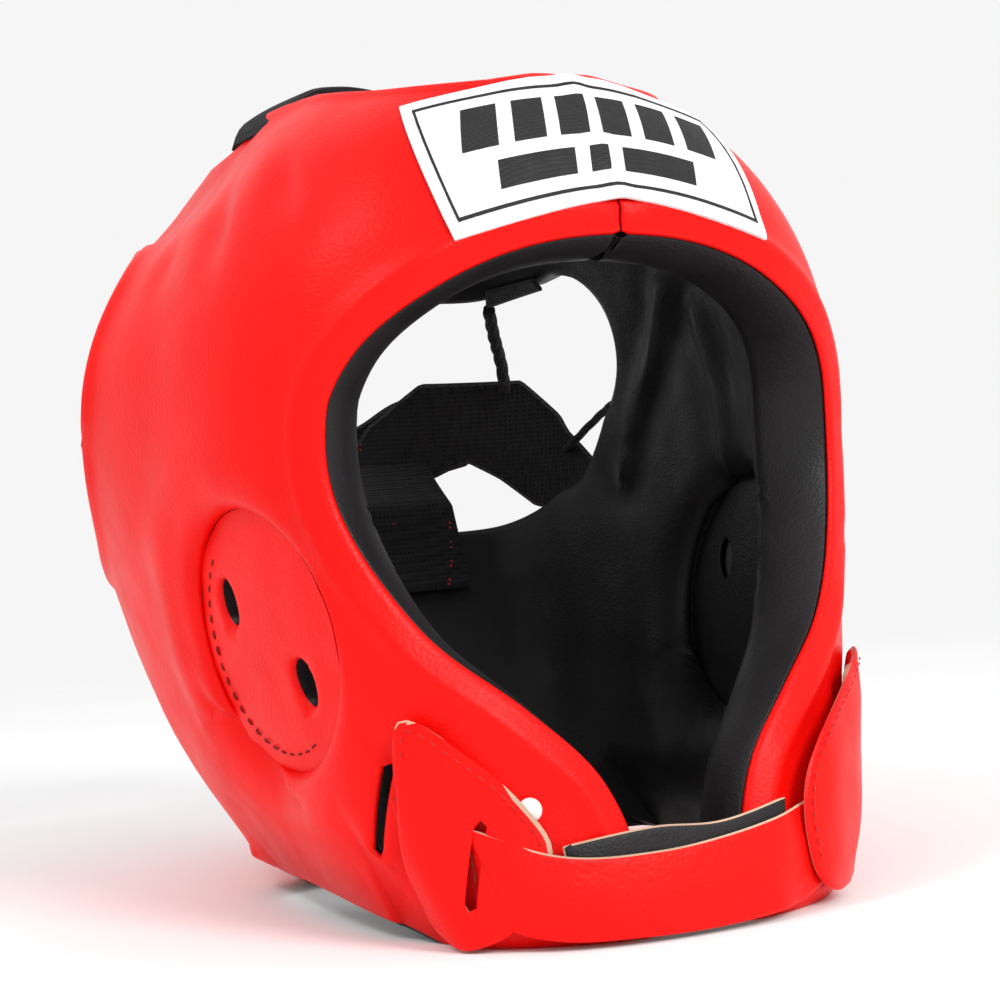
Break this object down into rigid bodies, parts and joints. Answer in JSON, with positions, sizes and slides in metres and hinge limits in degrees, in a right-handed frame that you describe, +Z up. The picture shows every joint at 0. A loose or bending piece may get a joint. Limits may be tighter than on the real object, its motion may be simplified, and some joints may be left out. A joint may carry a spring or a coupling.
{
  "type": "boxing headgear",
  "caption": "Open-face padded boxing headgear with cheek pads, ear pads, a chin strap, a crown strap and a rear strap closing over hook and loop.",
  "frame": {"origin": "on the ground under the middle of the bounding box", "axes": "+Z up as worn, the wearer faces -Y, the wearer's left is +X"},
  "size_m": [0.206, 0.2727, 0.2565],
  "materials": {
    "red_leather": "semi-gloss synthetic leather, fine grain",
    "black_lining": "matte synthetic suede-like lining",
    "foam": "open-cell padding, not seen",
    "black_webbing": "woven webbing",
    "hook_fabric": "hook-and-loop tape",
    "label_cloth": "smooth printed cloth, satin",
    "rivet_enamel": "cap of a press rivet",
    "lacing": "braided cord"
  },
  "bodies": {
    "shell": {"right_cover": "red_leather", "left_cover": "red_leather", "right_foam_pad": "foam", "left_foam_pad": "foam", "right_lining": "black_lining", "left_lining": "black_lining", "right_ear_pad": "red_leather", "left_ear_pad": "red_leather", "right_ear_lining": "black_lining", "left_ear_lining": "black_lining", "forehead_label": "label_cloth", "right_cheek_flap": "red_leather", "chin_strap_anchor": "red_leather", "chin_loop_patch": "hook_fabric", "cheek_rivet": "rivet_enamel", "rear_panel": "black_webbing", "rear_panel_tab": "black_webbing", "rear_loop_patch": "hook_fabric", "crown_strap_base": "black_webbing", "crown_loop_patch": "hook_fabric", "crown_edge_strip": "hook_fabric", "crown_lace": "lacing", "side_lace": "lacing"},
    "chin_strap": {"chin_strap": "red_leather", "chin_strap_backing": "red_leather", "left_cheek_flap": "red_leather", "chin_hook_patch": "hook_fabric"},
    "rear_strap": {"rear_strap": "black_webbing", "rear_hook_patch": "hook_fabric"},
    "crown_strap": {"crown_strap": "black_webbing", "crown_hook_patch": "hook_fabric"}
  },
  "joints": [
    {"name": "chin_strap_swing", "type": "hinge", "parent": "shell", "child": "chin_strap", "pos_m": [-0.06347, -0.11472, 0.02123], "axis": [-0.0384, 0.0442, -0.9983], "range_deg": [0, 90]},
    {"name": "rear_strap_swing", "type": "hinge", "parent": "shell", "child": "rear_strap", "pos_m": [-0.09824, 0.04909, 0.14773], "axis": [-0.0344, -0.4972, 0.8669], "range_deg": [0, 80]},
    {"name": "crown_strap_swing", "type": "hinge", "parent": "shell", "child": "crown_strap", "pos_m": [-0.0655, 0.00632, 0.2376], "axis": [0, -1, 0], "range_deg": [0, 95]}
  ]
}
